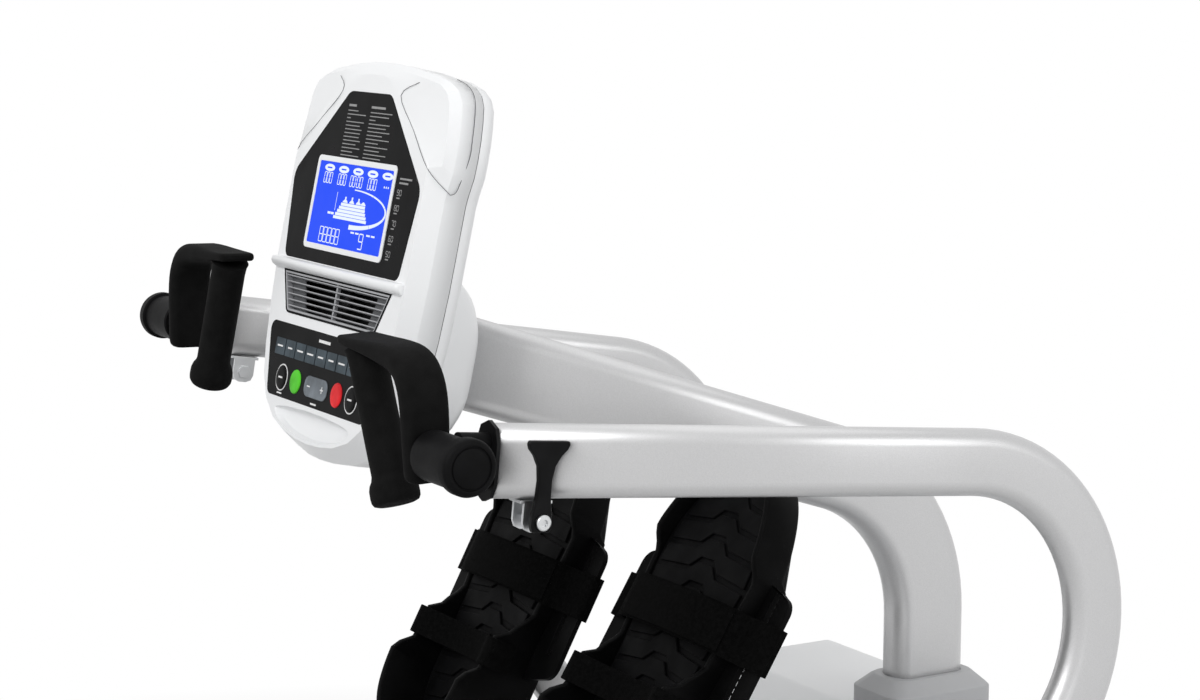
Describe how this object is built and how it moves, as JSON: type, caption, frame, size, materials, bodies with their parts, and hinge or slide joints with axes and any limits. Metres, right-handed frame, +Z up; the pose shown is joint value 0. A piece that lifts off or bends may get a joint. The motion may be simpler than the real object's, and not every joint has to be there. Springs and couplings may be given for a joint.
{
  "type": "recumbent stepper",
  "caption": "Total-body recumbent stepper with swinging arms, strapped pedals, console and swivel seat",
  "frame": {"origin": "on the floor under the middle of the machine", "axes": "+X to the front, +Y to the user's left, +Z up"},
  "size_m": [1.9, 0.878, 1.2659],
  "materials": {
    "silver_paint": "satin silver metallic paint",
    "black_paint": "satin black powder coat",
    "steel": "turned steel",
    "zinc": "zinc plated",
    "iron": "machined cast iron",
    "white_plastic": "satin white moulding",
    "light_grey_plastic": "satin light grey moulding",
    "grey_plastic": "satin grey moulding",
    "black_plastic": "matt black moulding",
    "black_gloss": "gloss black panel",
    "rubber": "matt black rubber and foam",
    "fabric": "woven black webbing",
    "vinyl": "dark grey upholstery vinyl",
    "green_plastic": "satin green",
    "red_plastic": "satin red"
  },
  "bodies": {
    "base": {"main_beam": "silver_paint", "front_stabiliser": "silver_paint", "rear_stabiliser": "silver_paint", "mast": "silver_paint", "mast_boot": "light_grey_plastic", "shroud_left": "white_plastic", "shroud_right": "white_plastic", "axle_stand": "black_paint", "drive_chain": "iron", "drive_belt": "rubber", "console_front": "white_plastic", "console_rear": "white_plastic", "display_panel": "black_gloss", "fan_grille": "grey_plastic", "keypad_panel": "black_gloss", "right_front_cap": "rubber", "right_rear_cap": "rubber", "left_front_cap": "rubber", "left_rear_cap": "rubber"},
    "swing_a": {"cross_shaft": "steel", "right_arm": "silver_paint", "right_arm_bush": "black_plastic", "right_clamp_bracket": "zinc", "left_pedal_lever": "silver_paint", "left_pedal_shell": "black_plastic", "left_footbed": "rubber", "left_toe_strap": "fabric", "left_heel_strap": "fabric"},
    "swing_b": {"hub_cradle": "black_paint", "left_arm": "silver_paint", "left_arm_bush": "black_plastic", "left_clamp_bracket": "zinc", "right_pedal_lever": "silver_paint", "right_pedal_shell": "black_plastic", "right_footbed": "rubber", "right_toe_strap": "fabric", "right_heel_strap": "fabric"},
    "rocker": {"equaliser_rocker": "steel"},
    "clutch": {"clutch_pulley": "iron"},
    "flywheel": {"flywheel": "iron"},
    "wheels": {"transport_wheels": "rubber"},
    "fan_rotor": {"fan_rotor": "black_plastic"},
    "level": {"level_rocker": "grey_plastic"},
    "seat_slide": {"seat_carriage": "black_paint"},
    "seat_swivel": {"swivel_post": "black_paint", "seat_cushion": "vinyl"},
    "seat_back": {"back_frame": "black_paint", "back_cushion": "vinyl"},
    "slide_lever": {"slide_lever": "black_plastic"},
    "swivel_lever": {"swivel_lever": "black_plastic"},
    "fan_button": {"fan_button": "black_gloss"},
    "start_button": {"start_button": "green_plastic"},
    "stop_button": {"stop_button": "red_plastic"},
    "enter_button": {"enter_button": "black_gloss"},
    "right_stem": {"right_handle_stem": "black_plastic"},
    "right_grip": {"right_handle_grip": "rubber"},
    "right_clamp": {"right_clamp_lever": "black_plastic"},
    "left_stem": {"left_handle_stem": "black_plastic"},
    "left_grip": {"left_handle_grip": "rubber"},
    "left_clamp": {"left_clamp_lever": "black_plastic"}
  },
  "joints": [
    {"name": "swing_a", "type": "hinge", "parent": "base", "child": "swing_a", "pos_m": [0.51, 0, 0.277], "axis": [0, 1, 0], "range_deg": [-11.12, 14.88]},
    {"name": "swing_b", "type": "hinge", "parent": "base", "child": "swing_b", "pos_m": [0.51, 0, 0.277], "axis": [0, 1, 0], "range_deg": [-14.88, 11.12]},
    {"name": "rocker", "type": "hinge", "parent": "base", "child": "rocker", "pos_m": [0.51, 0, 0.347], "axis": [0, 0, 1], "range_deg": [-22.33, 16.67]},
    {"name": "clutch_turn", "type": "hinge", "parent": "base", "child": "clutch", "pos_m": [0.706, 0, 0.277], "axis": [0, 1, 0], "continuous": true},
    {"name": "flywheel_turn", "type": "hinge", "parent": "base", "child": "flywheel", "pos_m": [0.835, 0, 0.23], "axis": [0, 1, 0], "continuous": true},
    {"name": "wheel_turn", "type": "hinge", "parent": "base", "child": "wheels", "pos_m": [0.906, 0, 0.015], "axis": [0, 1, 0], "continuous": true},
    {"name": "fan_turn", "type": "hinge", "parent": "base", "child": "fan_rotor", "pos_m": [0.04725, 0, 1.01518], "axis": [-0.9763, 0, 0.2164], "continuous": true},
    {"name": "level_rock", "type": "hinge", "parent": "base", "child": "level", "pos_m": [0.00928, 0, 0.92937], "axis": [0.2164, 0, 0.9763], "range_deg": [-2.5, 2.5], "stiffness_Nm_per_rad": 0.5},
    {"name": "fan_press", "type": "slide", "parent": "base", "child": "fan_button", "axis": [-0.9763, 0, 0.2164], "range_m": [-0.0012, 0], "stiffness_N_per_m": 400},
    {"name": "start_press", "type": "slide", "parent": "base", "child": "start_button", "axis": [-0.9763, 0, 0.2164], "range_m": [-0.0012, 0], "stiffness_N_per_m": 400},
    {"name": "stop_press", "type": "slide", "parent": "base", "child": "stop_button", "axis": [-0.9763, 0, 0.2164], "range_m": [-0.0012, 0], "stiffness_N_per_m": 400},
    {"name": "enter_press", "type": "slide", "parent": "base", "child": "enter_button", "axis": [-0.9763, 0, 0.2164], "range_m": [-0.0012, 0], "stiffness_N_per_m": 400},
    {"name": "seat_slide", "type": "slide", "parent": "base", "child": "seat_slide", "axis": [1, 0, 0], "range_m": [-0.16, 0.12]},
    {"name": "seat_swivel", "type": "hinge", "parent": "seat_slide", "child": "seat_swivel", "pos_m": [-0.485, 0, 0.3], "axis": [0, 0, 1], "range_deg": [-90, 90]},
    {"name": "back_recline", "type": "hinge", "parent": "seat_swivel", "child": "seat_back", "pos_m": [-0.735, 0, 0.376], "axis": [0, 1, 0], "range_deg": [-18, 0]},
    {"name": "slide_lever_turn", "type": "hinge", "parent": "seat_slide", "child": "slide_lever", "pos_m": [-0.42, -0.0723, 0.187], "axis": [-1, 0, 0], "range_deg": [0, 18]},
    {"name": "swivel_lever_turn", "type": "hinge", "parent": "seat_slide", "child": "swivel_lever", "pos_m": [-0.485, 0.0673, 0.256], "axis": [1, 0, 0], "range_deg": [0, 18]},
    {"name": "right_stem_slide", "type": "slide", "parent": "swing_a", "child": "right_stem", "axis": [0.9951, 0, -0.0987], "range_m": [-0.06, 0.01]},
    {"name": "right_grip_turn", "type": "hinge", "parent": "right_stem", "child": "right_grip", "pos_m": [-0.03905, -0.391, 0.92262], "axis": [0, 1, 0], "range_deg": [-45, 45]},
    {"name": "right_clamp_turn", "type": "hinge", "parent": "swing_a", "child": "right_clamp", "pos_m": [0.04525, -0.391, 0.86069], "axis": [0, 1, 0], "range_deg": [0, 80]},
    {"name": "left_stem_slide", "type": "slide", "parent": "swing_b", "child": "left_stem", "axis": [0.9865, 0, -0.1639], "range_m": [-0.06, 0.01]},
    {"name": "left_grip_turn", "type": "hinge", "parent": "left_stem", "child": "left_grip", "pos_m": [0.00459, 0.391, 0.95732], "axis": [0, 1, 0], "range_deg": [-45, 45]},
    {"name": "left_clamp_turn", "type": "hinge", "parent": "swing_b", "child": "left_clamp", "pos_m": [0.08464, 0.391, 0.88999], "axis": [0, 1, 0], "range_deg": [0, 80]}
  ],
  "couplings": [
    {"joint": "swing_b", "follows": "swing_a", "ratio": -1},
    {"joint": "rocker", "follows": "swing_a", "ratio": -1.5},
    {"joint": "flywheel_turn", "follows": "clutch_turn", "ratio": 3.8636}
  ]
}
